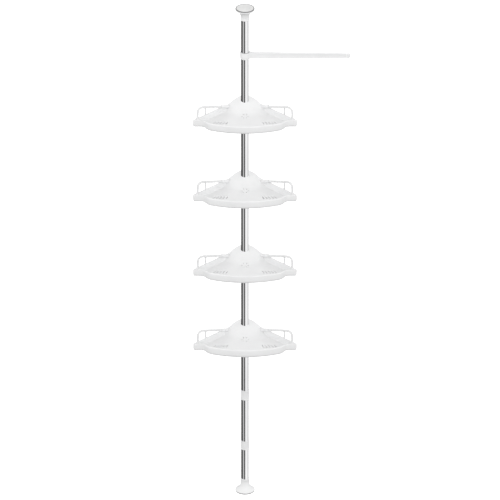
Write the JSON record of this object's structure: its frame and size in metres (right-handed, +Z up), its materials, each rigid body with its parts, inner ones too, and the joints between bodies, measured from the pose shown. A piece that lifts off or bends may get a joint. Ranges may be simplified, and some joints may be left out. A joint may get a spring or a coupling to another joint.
{
  "type": "shower caddy",
  "caption": "Corner shower caddy: quarter-round white trays with side rails on a sprung floor-to-ceiling steel pole, with a swivelling towel arm.",
  "frame": {"origin": "centre of the floor pad's underside, on the pole's axis", "axes": "+Z up along the pole to the ceiling, +Y towards the corner of the room, -Y towards the trays' curved fronts, +X along the towel arm at rest"},
  "size_m": [0.5015, 0.2059, 1.74],
  "materials": {
    "white_plastic": "moulded, satin gloss",
    "grey_plastic": "moulded, matt",
    "pole_tube": "polished stainless steel",
    "inner_steel": "drawn steel",
    "rubber": "moulded rubber"
  },
  "bodies": {
    "floor_stand": {"floor_pad": "rubber", "floor_foot": "white_plastic", "foot_tube": "pole_tube", "extension_tube": "inner_steel", "extension_guide": "grey_plastic"},
    "pole": {"lock_collet": "grey_plastic", "lower_tube": "pole_tube", "tube_coupling": "white_plastic", "middle_tube": "pole_tube", "tube_joint": "inner_steel", "upper_tube": "pole_tube", "spring_seat": "grey_plastic", "tension_spring": "inner_steel", "plunger_guide": "grey_plastic"},
    "lock_ring": {"lock_collar": "white_plastic"},
    "ceiling_head": {"ceiling_pad": "rubber", "ceiling_foot": "white_plastic", "plunger": "inner_steel"},
    "shelf_1_clamp": {"shelf_1_bush_left": "grey_plastic", "shelf_1_bush_right": "grey_plastic"},
    "shelf_1": {"shelf_1_tray": "white_plastic", "shelf_1_rail_left": "white_plastic", "shelf_1_rail_right": "white_plastic"},
    "shelf_2_clamp": {"shelf_2_bush_left": "grey_plastic", "shelf_2_bush_right": "grey_plastic"},
    "shelf_2": {"shelf_2_tray": "white_plastic", "shelf_2_rail_left": "white_plastic", "shelf_2_rail_right": "white_plastic"},
    "shelf_3_clamp": {"shelf_3_bush_left": "grey_plastic", "shelf_3_bush_right": "grey_plastic"},
    "shelf_3": {"shelf_3_tray": "white_plastic", "shelf_3_rail_left": "white_plastic", "shelf_3_rail_right": "white_plastic"},
    "shelf_4_clamp": {"shelf_4_bush_left": "grey_plastic", "shelf_4_bush_right": "grey_plastic"},
    "shelf_4": {"shelf_4_tray": "white_plastic", "shelf_4_rail_left": "white_plastic", "shelf_4_rail_right": "white_plastic"},
    "arm_clamp": {"arm_bush_left": "grey_plastic", "arm_bush_right": "grey_plastic"},
    "arm": {"towel_arm": "white_plastic", "arm_end_cap": "white_plastic"}
  },
  "joints": [
    {"name": "height_slide", "type": "slide", "parent": "floor_stand", "child": "pole", "axis": [0, 0, 1], "range_m": [0, 0.5]},
    {"name": "lock_twist", "type": "hinge", "parent": "pole", "child": "lock_ring", "pos_m": [0, 0, 0.168], "axis": [0, 0, 1], "range_deg": [-60, 0]},
    {"name": "head_spring", "type": "slide", "parent": "pole", "child": "ceiling_head", "axis": [0, 0, 1], "range_m": [-0.03, 0], "stiffness_N_per_m": 2500, "springref_m": 0.01, "deforming": ["tension_spring"]},
    {"name": "shelf_1_height", "type": "slide", "parent": "pole", "child": "shelf_1_clamp", "axis": [0, 0, 1], "range_m": [-0.08, 0.08]},
    {"name": "shelf_1_swivel", "type": "hinge", "parent": "shelf_1_clamp", "child": "shelf_1", "pos_m": [0, 0, 1.4025], "axis": [0, 0, 1], "continuous": true},
    {"name": "shelf_2_height", "type": "slide", "parent": "pole", "child": "shelf_2_clamp", "axis": [0, 0, 1], "range_m": [-0.08, 0.08]},
    {"name": "shelf_2_swivel", "type": "hinge", "parent": "shelf_2_clamp", "child": "shelf_2", "pos_m": [0, 0, 1.1345], "axis": [0, 0, 1], "continuous": true},
    {"name": "shelf_3_height", "type": "slide", "parent": "pole", "child": "shelf_3_clamp", "axis": [0, 0, 1], "range_m": [-0.08, 0.08]},
    {"name": "shelf_3_swivel", "type": "hinge", "parent": "shelf_3_clamp", "child": "shelf_3", "pos_m": [0, 0, 0.8665], "axis": [0, 0, 1], "continuous": true},
    {"name": "shelf_4_height", "type": "slide", "parent": "pole", "child": "shelf_4_clamp", "axis": [0, 0, 1], "range_m": [-0.08, 0.08]},
    {"name": "shelf_4_swivel", "type": "hinge", "parent": "shelf_4_clamp", "child": "shelf_4", "pos_m": [0, 0, 0.5985], "axis": [0, 0, 1], "continuous": true},
    {"name": "arm_height", "type": "slide", "parent": "pole", "child": "arm_clamp", "axis": [0, 0, 1], "range_m": [-0.03, 0.06]},
    {"name": "arm_swivel", "type": "hinge", "parent": "arm_clamp", "child": "arm", "pos_m": [0, 0, 1.572], "axis": [0, 0, 1], "continuous": true}
  ]
}
